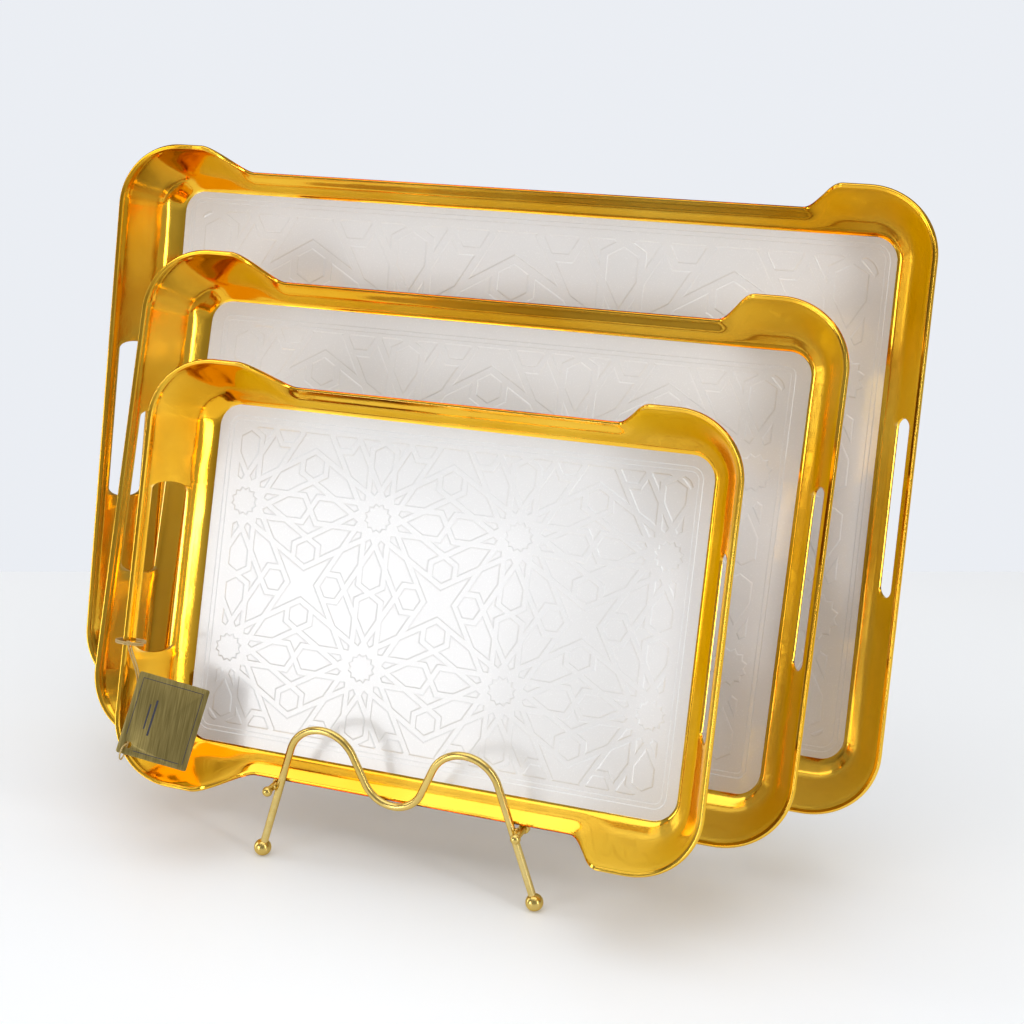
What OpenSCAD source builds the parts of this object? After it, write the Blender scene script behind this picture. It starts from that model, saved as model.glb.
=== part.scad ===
// Set of three serving trays, each a gold rim round a white embossed panel, leaning one behind
// the other on a gold wire stand, with a swing tag tied to the small tray's handle.
// Frame: +X along the trays' long side, trays face -Y and lean back towards +Y, +Z up, the
// origin on the floor under the middle of the object's box. Millimetres.

/* [Trays] */
// Length of the small tray's panel
small_panel_l = 288; // [240:1:300]
// Height of the small tray's panel, as it leans
small_panel_h = 190; // [160:1:200]
// Length of the medium tray's panel
medium_panel_l = 363; // [320:1:380]
// Height of the medium tray's panel, as it leans
medium_panel_h = 237; // [210:1:250]
// Length of the large tray's panel
large_panel_l = 440; // [400:1:460]
// Height of the large tray's panel, as it leans
large_panel_h = 287; // [260:1:300]
// Thickness of every panel
panel_t = 2; // [1.6:0.1:2.4]
// Corner radius of every panel
panel_corner = 13; // [8:1:18]
// Thickness of the rims' moulded wall
rim_t = 1.6; // [1.2:0.1:2]

/* [Rims] */
// How far the small, medium and large end walls flare out past the panel
end_out = [23.5, 25.5, 25.5]; // [20:0.5:30]
// How high the small, medium and large end walls stand over the panel
end_rise = [40, 37.5, 35.5]; // [30:0.5:44]
// How far the long walls flare out past the panel
long_out = 12; // [9:0.5:16]
// How high the long walls stand over the panel
long_rise = 12; // [8:0.5:16]
// How far an ear's crest stands out past the panel, as a share of the end wall's flare
ear_share = 0.92; // [0.7:0.02:1]
// Length of an ear's level stretch along the long wall
ear_flat = 14; // [8:1:20]
// Length of an ear's ramp down to the long wall
ear_ramp = 25; // [15:1:35]

/* [Handles] */
// Length of the handle slot in each end wall
slot_l = 96; // [80:1:105]
// Where the slot starts and stops across the end wall, as shares of the wall's flare
slot_span = [0.43, 0.82]; // [0.3:0.01:0.85]

/* [Stand] */
// Radius of the bent wire
wire_r = 2.1; // [1.8:0.1:2.5]
// Radius of the two straight rods
rod_r = 1.8; // [1.5:0.1:2.2]
// Height of the rods' centre lines over the floor
rod_z = 43.5; // [38:0.5:50]
// Distance between the front and the rear wire
stand_depth = 175; // [150:1:200]
// Half the distance between two feet
foot_x = 81; // [75:1:88]
// Radius of a ball foot
foot_r = 4.8; // [4:0.1:6]
// Half the distance between the two humps of a wire
hump_x = 41.5; // [38:0.5:46]
// Bend radius of a hump
hump_r = 20; // [17:0.5:22]
// Height of a hump's bend centre over the floor
hump_z = 62.5; // [58:0.5:70]
// Bend radius of the dip between the humps
dip_r = 18; // [14:0.5:19]
// Radius of the ball tips on the rods
tip_r = 2.8; // [2.4:0.1:3.4]

/* [Tag] */
// Width and height of the tag card
card_size = [40, 46]; // [30:1:60]
// Thickness of the tag card
card_t = 0.7; // [0.5:0.1:1.2]
// Diameter of the tag's string
string_d = 0.9; // [0.6:0.1:1.2]

/* [Hidden] */
$fn = 48;

// The stand's middle, measured from the middle of the object's box.
stand_x = 4.5;
stand_y = -86.1;
// Each tray's middle along X and its foot along Y from the front wire, and how far it leans back.
tray_x = [7, 1.5, -4.5];
tray_y = [18, 63, 121];
tray_lean = [18, 20.5, 15];
tray_l = [small_panel_l, medium_panel_l, large_panel_l];
tray_h = [small_panel_h, medium_panel_h, large_panel_h];
gap = 0.3;      // clear space kept between pieces that only rest on each other
seat = 0.05;    // clear space round a piece held in another

// ---- Rim section: points [out, rise] across the wall, from the panel's edge to the lip.
end_section = [[0, 0], [0.07, 0.02], [0.20, 0.10], [0.40, 0.25], [0.60, 0.52], [0.84, 0.87],
    [0.94, 0.975], [1, 1], [1.04, 0.95]];
long_section = [[0, 0], [0.09, 0.03], [0.20, 0.12], [0.34, 0.36], [0.50, 0.60], [0.76, 0.82],
    [0.93, 0.98], [1, 0.99], [1.04, 0.86]];
last = len(end_section) - 1;
ledge_w = 5;    // the rim's ledge under the panel
ledge_t = 1.5;

function mix(a, b, t) = a + (b - a) * t;
function smooth(t) = let (c = max(0, min(1, t))) c * c * (3 - 2 * c);
// One section between the long wall's (0) and the end wall's (1), its flare scaled by k.
function face_pts(i, w, k) = [for (j = [0 : last])
    [k * mix(long_section[j][0] * long_out, end_section[j][0] * end_out[i], w),
     mix(long_section[j][1] * long_rise, end_section[j][1] * end_rise[i], w)]];
function unit(v) = v / norm(v);
// The back of the wall, rim_t behind its face, and the ledge that carries the panel.
function back_pt(p, j) = let (a = p[max(0, j - 1)], b = p[min(last, j + 1)], d = unit(b - a))
    p[j] + rim_t * [d[1], -d[0]];
function ring(i, w, k) = let (p = face_pts(i, w, k)) concat(
    [[seat, 0]], [for (j = [1 : last]) p[j]],
    [for (j = [last - 2 : -1 : 2]) back_pt(p, j)],
    [[1.2, -panel_t - ledge_t], [-ledge_w, -panel_t - ledge_t], [-ledge_w, -panel_t - seat],
     [seat, -panel_t - seat]]);

// ---- Rim path: [x, y, nx, ny, w, k] at each station, anticlockwise from the right-hand end.
corner_steps = 8;
ramp_steps = 8;
function station_w(s) = 1 - smooth((s - ear_flat) / ear_ramp);
// One quadrant from the middle of the right-hand end to the middle of the top long wall.
function quadrant(l, h) = let (cx = l / 2 - panel_corner, cy = h / 2 - panel_corner, r = panel_corner)
    concat(
        [[l / 2, 0, 1, 0, 1, 1]],
        [for (s = [0 : corner_steps]) let (a = 90 * s / corner_steps)
            [cx + r * cos(a), cy + r * sin(a), cos(a), sin(a), 1, mix(1, ear_share, smooth(a / 90))]],
        [[cx - ear_flat / 2, h / 2, 0, 1, 1, ear_share]],
        [for (s = [0 : ramp_steps]) let (x = ear_flat + ear_ramp * s / ramp_steps, w = station_w(x))
            [cx - x, h / 2, 0, 1, w, mix(1, ear_share, w)]]);
function flip(q, sx, sy) = [for (p = q) [p[0] * sx, p[1] * sy, p[2] * sx, p[3] * sy, p[4], p[5]]];
function tail(q) = [for (j = [1 : len(q) - 1]) q[j]];
function reverse(q) = [for (j = [len(q) - 1 : -1 : 0]) q[j]];
function path(l, h) = let (q = quadrant(l, h)) concat(
    q, reverse(tail(flip(q, -1, 1))), flip(q, -1, -1), reverse(tail(flip(q, 1, -1))));

// A closed ring of sections swept round a closed path.
module swept_rim(i) {
    l = tray_l[i];
    h = tray_h[i];
    stations = path(l, h);
    n = len(stations);
    m = len(ring(i, 1, 1));
    points = [for (s = stations) let (c = ring(i, s[4], s[5])) for (p = c)
        [s[0] + s[2] * p[0], h / 2 + s[1] + s[3] * p[0], p[1]]];
    faces = [for (a = [0 : n - 1]) let (b = (a + 1) % n) for (j = [0 : m - 1]) let (k = (j + 1) % m)
        each [[a * m + j, b * m + k, a * m + k], [a * m + j, b * m + j, b * m + k]]];
    polyhedron(points, faces, convexity = 10);
}

// A round-ended slot across one end wall, cut straight through along the tray's facing direction.
module slot_cutter(i) {
    a = end_out[i] * slot_span[0];
    b = end_out[i] * slot_span[1];
    r = (b - a) / 2;
    translate([tray_l[i] / 2 + (a + b) / 2, tray_h[i] / 2, -10])
        linear_extrude(height = 80) union() {
            square([2 * r, slot_l - 2 * r], center = true);
            for (s = [-1, 1]) translate([0, s * (slot_l / 2 - r)]) circle(r = r);
        }
}

// From a tray's own frame (x along, y up its panel, z out of its face) to the object's frame.
rest_drop = max([for (i = [0 : 2]) for (p = ring(i, 0, 1)) p[0] * cos(tray_lean[i]) - p[1] * sin(tray_lean[i])]);
tray_z = rod_z + rod_r + gap + rest_drop;
module on_tray(i) {
    translate([stand_x + tray_x[i], stand_y + tray_y[i], tray_z])
        rotate([90 - tray_lean[i], 0, 0]) children();
}

module rim(i) {
    color("goldenrod") on_tray(i) difference() {
        swept_rim(i);
        slot_cutter(i);
        mirror([1, 0, 0]) slot_cutter(i);
    }
}

module panel(i) {
    l = tray_l[i];
    h = tray_h[i];
    r = panel_corner;
    color("whitesmoke") on_tray(i) translate([0, h / 2, -panel_t]) linear_extrude(height = panel_t)
        union() {
            square([l, h - 2 * r], center = true);
            square([l - 2 * r, h], center = true);
            for (sx = [-1, 1]) for (sy = [-1, 1])
                translate([sx * (l / 2 - r), sy * (h / 2 - r)]) circle(r = r);
        }
}

module small_rim() rim(0);
module small_panel() panel(0);
module medium_rim() rim(1);
module medium_panel() panel(1);
module large_rim() rim(2);
module large_panel() panel(2);

// ---- Stand
function polar(c, r, a) = c + r * [cos(a), sin(a)];
function arc(c, r, a0, a1) = [for (j = [0 : bend_steps]) polar(c, r, mix(a0, a1, j / bend_steps))];
bend_steps = 9;
wire_sides = 12;

// Half of an M-shaped wire from the foot f over the hump bent round c to the dip bent round d.
function leg_angle(f, c) = let (v = c - f) atan2(v[1], v[0]) - asin(hump_r / norm(v)) - 90;
function half_wire(f, c, d) = let (
    tilt = atan2(c[1] - d[1], c[0] - d[0]),
    wall = acos((hump_r + dip_r) / norm(c - d)))
    concat([f], arc(c, hump_r, leg_angle(f, c), 180 + tilt - wall), arc(d, dip_r, tilt - wall, -90));
function m_wire(f, c, d) = let (h = half_wire(f, c, d))
    concat(h, [for (p = reverse(h)) if (p[0] > 0.01) [-p[0], p[1]]]);

// A round wire along points of the XZ plane.
module bent_wire(q) {
    n = len(q);
    m = wire_sides;
    points = [for (j = [0 : n - 1])
        let (t = unit(q[min(n - 1, j + 1)] - q[max(0, j - 1)])) for (s = [0 : m - 1])
        let (a = 360 * s / m, c = wire_r * cos(a)) [q[j][0] - c * t[1], wire_r * sin(a), q[j][1] + c * t[0]]];
    tube_mesh(points, n, m);
}
// The skin of a tube of n rings with m points in each, closed at both ends.
module tube_mesh(points, n, m) {
    sides = [for (j = [0 : n - 2]) for (s = [0 : m - 1]) let (k = (s + 1) % m)
        each [[j * m + s, j * m + k, (j + 1) * m + k], [j * m + s, (j + 1) * m + k, (j + 1) * m + s]]];
    start = [for (s = [m - 1 : -1 : 0]) s];
    finish = [for (s = [0 : m - 1]) (n - 1) * m + s];
    polyhedron(points, concat([start], sides, [finish]), convexity = 10);
}
// A round bar between two points of the XZ plane.
module bar(p, q, r) {
    d = q - p;
    translate([p[0], 0, p[1]]) rotate([0, atan2(d[0], d[1]), 0]) cylinder(r = r, h = norm(d));
}

hump_c = [hump_x, hump_z];
dip_c = [0, hump_z + 0.7];
foot_z = foot_r - 0.2;
foot_c = [foot_x, foot_z];
leg_dir = polar([0, 0], 1, leg_angle(foot_c, hump_c) + 90);
leg_start = foot_c + 1.5 * leg_dir;
leg_rod_x = foot_x + (rod_z - foot_z) * leg_dir[0] / leg_dir[1];
rod_x = leg_rod_x + (wire_r + rod_r + seat) / leg_dir[1];

module stand_wire(y) {
    color("darkkhaki") translate([stand_x, stand_y + y, 0]) bent_wire(m_wire(leg_start, hump_c, dip_c));
}
module front_wire() stand_wire(0);
module rear_wire() stand_wire(stand_depth);

// Rods run past the outside of both wires' legs to ball tips, with a shoulder inside each wire.
rod_over = 6.5;
shoulder_r = 3;
shoulder_w = 3;
module rod(side) {
    color("darkkhaki") translate([stand_x + side * rod_x, stand_y, rod_z]) rotate([-90, 0, 0]) {
        translate([0, 0, -rod_over]) cylinder(r = rod_r, h = stand_depth + 2 * rod_over);
        for (y = [wire_r + 3, stand_depth - wire_r - 3 - shoulder_w])
            translate([0, 0, y]) cylinder(r = shoulder_r, h = shoulder_w);
        for (y = [-rod_over, stand_depth + rod_over]) translate([0, 0, y]) sphere(r = tip_r);
    }
}
module left_rod() rod(-1);
module right_rod() rod(1);

// A back rest: a tall wire in the plane behind one tray, its two legs standing on the rods.
rest_hump = [98, 118, 140];
rest_n = -(panel_t + ledge_t + gap + wire_r);
module back_rest(i) {
    lean = tray_lean[i];
    // Where the leg's centre line ends above the rod, in the tray's own frame.
    end_z = rod_z + rod_r + seat + wire_r * sin(lean);
    v_end = (end_z - tray_z - rest_n * sin(lean)) / cos(lean);
    c = [hump_x, rest_hump[i] - hump_r];
    color("darkkhaki") on_tray(i) translate([-tray_x[i], 0, rest_n]) rotate([-90, 0, 0])
        bent_wire(concat([[rod_x, v_end]], m_wire([rod_x, v_end + 3], c, c - [hump_x, -0.7]), [[-rod_x, v_end]]));
}
module small_back_rest() back_rest(0);
module medium_back_rest() back_rest(1);
module large_back_rest() back_rest(2);

// Ball feet with a small flat, each bored for the end of its leg.
module foot(side, y) {
    color("darkkhaki") translate([stand_x, stand_y + y, 0]) mirror([side < 0 ? 1 : 0, 0, 0]) difference() {
        translate([foot_x, 0, foot_z]) sphere(r = foot_r);
        translate([foot_x, 0, -foot_r]) cylinder(r = 2 * foot_r, h = foot_r);
        bar(leg_start - seat * leg_dir, leg_start + 12 * leg_dir, wire_r + seat);
    }
}
module front_left_foot() foot(-1, 0);
module front_right_foot() foot(1, 0);
module rear_left_foot() foot(-1, stand_depth);
module rear_right_foot() foot(1, stand_depth);

// ---- Tag on the small tray's left-hand handle. All places are in the small tray's own frame.
bar_out = small_panel_l / 2 + end_out[0] * 0.88;
bar_rise = end_rise[0] * 0.915;
knot_v = 53;
loop_r = 8.0;
knot_at = [-161.2, 53, 44.4];
card_mid = [-141, 12, 33.5];
card_turn = [-13, 19, -10];
hole_in = 5.5;    // the hole's distance from the card's left and lower edges
// The string's centre line: down behind the card, round its lower edge, in through the hole
// from the front and back up to the knot.
string_route = [
    [-162, 51, 43], [-161.5, 47, 41], [-160, 39, 37], [-158.9, 31, 34.6], [-158.1, 21, 35.2],
    [-157.5, 11, 37.2], [-157.3, 1, 39.6], [-157.3, -5, 41.6], [-157.5, -9, 43.6], [-157.7, -10.6, 45.4],
    [-157.7, -9.4, 47], [-157.4, -6.6, 47.2], [-157.1, -3.8, 46], [-156.7, -2.4, 43.6], [-156.3, -0.8, 41.2],
    [-155.9, 5, 39], [-155.9, 13, 37.2], [-156.5, 21, 35.4], [-157.3, 31, 34.8], [-158.4, 39, 37],
    [-159.8, 47, 41], [-160.4, 51, 43],
];
string_sides = 8;

module tag_loop() {
    color("goldenrod") on_tray(0) translate([-bar_out, knot_v, bar_rise]) rotate([90, 0, 0])
        rotate_extrude() translate([loop_r, 0]) circle(r = string_d / 2);
}
module tag_knot() {
    color("goldenrod") on_tray(0) translate(knot_at) sphere(r = 1.3);
}
// Rings of points square to the route, kept from twisting by a fixed side direction.
function ahead(q, j) = unit(q[min(len(q) - 1, j + 1)] - q[max(0, j - 1)]);
function tube_ring(q, j, r) = let (t = ahead(q, j), a = unit(cross(t, [1, 0, 0])), b = cross(a, t))
    [for (s = [0 : string_sides - 1]) let (u = 360 * s / string_sides) q[j] + r * (cos(u) * a + sin(u) * b)];
module tube(q, r) {
    tube_mesh([for (j = [0 : len(q) - 1]) each tube_ring(q, j, r)], len(q), string_sides);
}
module tag_string() {
    color("goldenrod") on_tray(0) tube(string_route, string_d / 2);
}
module tag_card() {
    color("darkgoldenrod") on_tray(0) translate(card_mid) rotate(card_turn) difference() {
        cube([card_size[0], card_size[1], card_t], center = true);
        translate([hole_in - card_size[0] / 2, hole_in - card_size[1] / 2, -2]) cylinder(r = 1.9, h = 4);
    }
}

small_rim();
small_panel();
medium_rim();
medium_panel();
large_rim();
large_panel();
front_wire();
rear_wire();
left_rod();
right_rod();
small_back_rest();
medium_back_rest();
large_back_rest();
front_left_foot();
front_right_foot();
rear_left_foot();
rear_right_foot();
tag_loop();
tag_knot();
tag_string();
tag_card();
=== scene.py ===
"""A set of three serving trays on a wire stand, with a swing tag: finished surfaces and materials."""
import math

import bmesh
import bpy
from mathutils import Matrix, Vector


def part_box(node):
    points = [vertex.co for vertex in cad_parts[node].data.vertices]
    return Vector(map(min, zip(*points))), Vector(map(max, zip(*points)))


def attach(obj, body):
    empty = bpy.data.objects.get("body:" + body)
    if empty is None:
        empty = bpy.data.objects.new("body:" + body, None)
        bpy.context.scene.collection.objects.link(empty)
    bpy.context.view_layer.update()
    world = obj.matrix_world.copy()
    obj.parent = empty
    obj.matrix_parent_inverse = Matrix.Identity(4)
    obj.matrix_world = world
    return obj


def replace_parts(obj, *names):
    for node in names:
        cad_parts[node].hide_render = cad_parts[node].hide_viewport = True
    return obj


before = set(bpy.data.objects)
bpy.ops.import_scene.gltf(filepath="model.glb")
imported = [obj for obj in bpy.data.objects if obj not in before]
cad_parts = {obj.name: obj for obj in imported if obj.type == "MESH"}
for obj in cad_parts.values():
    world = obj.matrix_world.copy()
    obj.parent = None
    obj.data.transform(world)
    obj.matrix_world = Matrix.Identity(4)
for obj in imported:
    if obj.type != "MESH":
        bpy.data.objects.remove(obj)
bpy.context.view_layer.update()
MM = 0.001

# ---------------------------------------------------------------- sizes of the object
TRAYS = ("small", "medium", "large")
LEAN = {"small": 18.0, "medium": 20.5, "large": 15.0}
PANEL_T = 2.0 * MM
PANEL_CORNER = 13.0 * MM
RIM_T = 1.6 * MM
END_OUT = {"small": 23.5 * MM, "medium": 25.5 * MM, "large": 25.5 * MM}
END_RISE = {"small": 40 * MM, "medium": 37.5 * MM, "large": 35.5 * MM}
LONG_OUT = 12.0 * MM
LONG_RISE = 12.0 * MM
EAR_SHARE = 0.92
EAR_FLAT = 14.0 * MM
EAR_RAMP = 25.0 * MM
SLOT_LENGTH = 96.0 * MM
SLOT_SPAN = (0.43, 0.82)
# Sections of the end walls and of the long walls, from the panel's edge to the lip, as shares.
END_SECTION = ((0, 0), (0.07, 0.02), (0.20, 0.10), (0.40, 0.25), (0.60, 0.52), (0.84, 0.87),
               (0.94, 0.975), (1, 1), (1.04, 0.95))
LONG_SECTION = ((0, 0), (0.09, 0.03), (0.20, 0.12), (0.34, 0.36), (0.50, 0.60), (0.76, 0.82),
                (0.93, 0.98), (1, 0.99), (1.04, 0.86))

WIRE_R = 2.1 * MM
ROD_R = 1.8 * MM
FOOT_R = 4.8 * MM
FOOT_FLAT = 0.2 * MM
TIP_R = 2.8 * MM
HUMP_X = 41.5 * MM
HUMP_R = 20.0 * MM
DIP_R = 18.0 * MM
HUMP_Z = 62.5 * MM
DIP_ABOVE = 0.7 * MM
FOOT_X = 81.0 * MM
REST_HUMP = {"small": 98 * MM, "medium": 118 * MM, "large": 140 * MM}
REST_BEHIND = PANEL_T + 1.8 * MM + WIRE_R
REST_GAP = 0.05 * MM
COLLAR = 3 * MM

STRING_D = 0.9 * MM
CARD_SIZE = (40 * MM, 46 * MM)
CARD_T = 0.7 * MM
CARD_MID = Vector((-141, 12, 33.5)) * MM
CARD_TURN = (-13, 19, -10)
HOLE_IN = 5.5 * MM
HOLE_R = 1.9 * MM
CARD_CORNER = 1.2 * MM
PRINT_IN = 3 * MM
PRINT_LINE = 0.35 * MM
LOOP_R = 8.0 * MM
LOOP_PITCH = 0.95 * MM
LOOP_STEPS = 48
KNOT_AT = Vector((-161.2, 53, 44.4)) * MM
KNOT_SIZE = 0.42 * MM
KNOT_STEPS = 60
# The string's route in the small tray's own frame, in millimetres.
STRING_ROUTE = (
    (-162, 51, 43), (-161.5, 47, 41), (-160, 39, 37), (-158.9, 31, 34.6), (-158.1, 21, 35.2),
    (-157.5, 11, 37.2), (-157.3, 1, 39.6), (-157.3, -5, 41.6), (-157.5, -9, 43.6),
    (-157.7, -10.6, 45.4), (-157.7, -9.4, 47), (-157.4, -6.6, 47.2), (-157.1, -3.8, 46),
    (-156.7, -2.4, 43.6), (-156.3, -0.8, 41.2), (-155.9, 5, 39), (-155.9, 13, 37.2), (-156.5, 21, 35.4),
    (-157.3, 31, 34.8), (-158.4, 39, 37), (-159.8, 47, 41), (-160.4, 51, 43),
)


# ---------------------------------------------------------------- helpers
def mix(a, b, t):
    return a + (b - a) * t


def smooth(t):
    t = max(0.0, min(1.0, t))
    return t * t * (3 - 2 * t)


def smooth_line(points, per):
    """A smooth line through the points, with per steps between each two."""
    line = []
    last = len(points) - 1
    for j in range(last):
        a, b = points[max(0, j - 1)], points[j]
        c, d = points[j + 1], points[min(last, j + 2)]
        for s in range(per):
            t = s / per
            line.append(0.5 * (2 * b + (c - a) * t + (2 * a - 5 * b + 4 * c - d) * t * t
                               + (3 * b - a - 3 * c + d) * t ** 3))
    line.append(points[last])
    return line


def at_share(line, share):
    """The point of a line where its first coordinate reaches the share."""
    for a, b in zip(line, line[1:]):
        if b.x >= share:
            return a.lerp(b, (share - a.x) / (b.x - a.x))
    return line[-1]


def add_object(name, data):
    obj = bpy.data.objects.new(name, data)
    bpy.context.scene.collection.objects.link(obj)
    return obj


def mesh_object(name, bm, material):
    """The bmesh as an object with one material."""
    mesh = bpy.data.meshes.new(name)
    bm.to_mesh(mesh)
    bm.free()
    mesh.materials.append(material)
    return add_object(name, mesh)


def finish_piece(name, bm, body, material, smooth_angle=35):
    """The bmesh as a finished piece that rides on a body."""
    obj = mesh_object(name, bm, material)
    mesh = obj.data
    mesh.polygons.foreach_set("use_smooth", [True] * len(mesh.polygons))
    mesh.set_sharp_from_angle(angle=math.radians(smooth_angle))
    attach(obj, body)
    return obj


def curve_piece(name, lines, radius, body, material, closed=False, sides=6):
    """Round wire along one or more lines, as a finished piece."""
    curve = bpy.data.curves.new(name, "CURVE")
    curve.dimensions = "3D"
    curve.bevel_depth = radius
    curve.bevel_resolution = sides
    curve.use_fill_caps = True
    for line in lines:
        spline = curve.splines.new("POLY")
        spline.points.add(len(line) - 1)
        for point, co in zip(spline.points, line):
            point.co = (*co, 1)
        spline.use_cyclic_u = closed
        spline.use_smooth = True
    obj = add_object(name, curve)
    curve.materials.append(material)
    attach(obj, body)
    return obj


def tray_matrix(name):
    """From a tray's own frame (x along, y up its panel, z out of its face) to the row frame."""
    low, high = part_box(name + "_panel")
    lean = math.radians(LEAN[name])
    foot = Vector(((low.x + high.x) / 2, low.y, low.z + PANEL_T * math.sin(lean)))
    return Matrix.Translation(foot) @ Matrix.Rotation(math.pi / 2 - lean, 4, "X")


def panel_size(name):
    """A panel's length and its height along its own slope."""
    low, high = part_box(name + "_panel")
    foot = tray_matrix(name).translation
    return high.x - low.x, (high.z - foot.z) / math.cos(math.radians(LEAN[name]))


PLACE = {name: tray_matrix(name) for name in TRAYS}
PANEL = {name: panel_size(name) for name in TRAYS}


# ---------------------------------------------------------------- material effects
def new_group(name, inputs, outputs):
    group = bpy.data.node_groups.new(name, "ShaderNodeTree")
    for label, kind, value in inputs:
        socket = group.interface.new_socket(label, in_out="INPUT", socket_type=kind)
        socket.default_value = value
    for label, kind in outputs:
        group.interface.new_socket(label, in_out="OUTPUT", socket_type=kind)
    return group, group.nodes.new("NodeGroupInput"), group.nodes.new("NodeGroupOutput")


def node(tree, kind, **values):
    made = tree.nodes.new(kind)
    for key, value in values.items():
        if key in made.inputs:
            made.inputs[key].default_value = value
        else:
            setattr(made, key, value)
    return made


def plated_effect():
    """Plated finish: slow drift of tone, fine specks, and the waviness of a moulded wall."""
    group, come, go = new_group(
        "plated_finish",
        [("Drift Scale", "NodeSocketFloat", 12.0), ("Wave Scale", "NodeSocketFloat", 40.0),
         ("Speck Scale", "NodeSocketFloat", 900.0), ("Roughness Low", "NodeSocketFloat", 0.1),
         ("Roughness High", "NodeSocketFloat", 0.2)],
        [("Tone", "NodeSocketFloat"), ("Roughness", "NodeSocketFloat"), ("Height", "NodeSocketFloat")])
    link = group.links.new
    place = node(group, "ShaderNodeTexCoord")
    drift = node(group, "ShaderNodeTexNoise", Detail=3.0)
    wave = node(group, "ShaderNodeTexNoise", Detail=1.5)
    speck = node(group, "ShaderNodeTexNoise", Detail=4.0)
    for noise, label in ((drift, "Drift Scale"), (wave, "Wave Scale"), (speck, "Speck Scale")):
        link(place.outputs["Object"], noise.inputs["Vector"])
        link(come.outputs[label], noise.inputs["Scale"])
    rough = node(group, "ShaderNodeMapRange")
    link(speck.outputs["Fac"], rough.inputs["Value"])
    link(come.outputs["Roughness Low"], rough.inputs["To Min"])
    link(come.outputs["Roughness High"], rough.inputs["To Max"])
    height = node(group, "ShaderNodeMath", operation="MULTIPLY_ADD")
    height.inputs[1].default_value = 0.04
    link(speck.outputs["Fac"], height.inputs[0])
    link(wave.outputs["Fac"], height.inputs[2])
    link(drift.outputs["Fac"], go.inputs["Tone"])
    link(rough.outputs["Result"], go.inputs["Roughness"])
    link(height.outputs["Value"], go.inputs["Height"])
    return group


def wear_effect():
    """Edge wear: a mask that is high on raised edges, broken up by a fine noise."""
    group, come, go = new_group(
        "edge_wear",
        [("Amount", "NodeSocketFloat", 0.5), ("Break Scale", "NodeSocketFloat", 300.0)],
        [("Mask", "NodeSocketFloat")])
    link = group.links.new
    place = node(group, "ShaderNodeTexCoord")
    shape = node(group, "ShaderNodeNewGeometry")
    breaks = node(group, "ShaderNodeTexNoise", Detail=5.0)
    link(place.outputs["Object"], breaks.inputs["Vector"])
    link(come.outputs["Break Scale"], breaks.inputs["Scale"])
    edge = node(group, "ShaderNodeMapRange")
    edge.inputs["From Min"].default_value = 0.52
    edge.inputs["From Max"].default_value = 0.62
    link(shape.outputs["Pointiness"], edge.inputs["Value"])
    broken = node(group, "ShaderNodeMath", operation="MULTIPLY")
    link(edge.outputs["Result"], broken.inputs[0])
    link(breaks.outputs["Fac"], broken.inputs[1])
    amount = node(group, "ShaderNodeMath", operation="MULTIPLY", use_clamp=True)
    link(broken.outputs["Value"], amount.inputs[0])
    link(come.outputs["Amount"], amount.inputs[1])
    link(amount.outputs["Value"], go.inputs["Mask"])
    return group


PLATED = plated_effect()
WEAR = wear_effect()


def new_material(name):
    material = bpy.data.materials.new(name)
    material.use_nodes = True
    return material, material.node_tree, material.node_tree.nodes["Principled BSDF"]


def two_tone(tree, low, high, start=0.0, end=1.0):
    ramp = node(tree, "ShaderNodeValToRGB")
    first, last = ramp.color_ramp.elements
    first.position, first.color = start, (*low, 1)
    last.position, last.color = end, (*high, 1)
    return ramp


def plated_node(tree, scales, rough):
    """The plated finish with its three scales (drift, wave, speck) and its range of roughness."""
    plated = node(tree, "ShaderNodeGroup", node_tree=PLATED)
    labels = ("Drift Scale", "Wave Scale", "Speck Scale", "Roughness Low", "Roughness High")
    for label, value in zip(labels, (*scales, *rough)):
        plated.inputs[label].default_value = value
    return plated


def metal(name, deep, pale, worn, rough, scales, bump, wear):
    """Plated metal: two tones that drift into each other, worn edges, and a faint waviness."""
    material, tree, shader = new_material(name)
    link = tree.links.new
    plated = plated_node(tree, scales, rough)
    edges = node(tree, "ShaderNodeGroup", node_tree=WEAR)
    edges.inputs["Amount"].default_value = wear
    tone = two_tone(tree, deep, pale, 0.35, 0.65)
    link(plated.outputs["Tone"], tone.inputs["Fac"])
    blend = node(tree, "ShaderNodeMix", data_type="RGBA")
    blend.inputs["B"].default_value = (*worn, 1)
    link(edges.outputs["Mask"], blend.inputs["Factor"])
    link(tone.outputs["Color"], blend.inputs["A"])
    relief = node(tree, "ShaderNodeBump", Strength=bump, Distance=0.002)
    link(plated.outputs["Height"], relief.inputs["Height"])
    link(blend.outputs["Result"], shader.inputs["Base Color"])
    link(plated.outputs["Roughness"], shader.inputs["Roughness"])
    link(relief.outputs["Normal"], shader.inputs["Normal"])
    shader.inputs["Metallic"].default_value = 1.0
    shader.inputs["Specular Tint"].default_value = (1.0, 0.78, 0.36, 1)
    return material


def gold_rim():
    return metal("gold_rim", deep=(0.82, 0.41, 0.016), pale=(0.92, 0.57, 0.06), worn=(1.0, 0.82, 0.40),
                 rough=(0.07, 0.14), scales=(9.0, 30.0, 700.0), bump=0.22, wear=0.8)


def gold_wire():
    return metal("gold_wire", deep=(0.60, 0.42, 0.10), pale=(0.74, 0.55, 0.17), worn=(0.9, 0.78, 0.42),
                 rough=(0.20, 0.30), scales=(30.0, 120.0, 1500.0), bump=0.06, wear=0.6)


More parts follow.
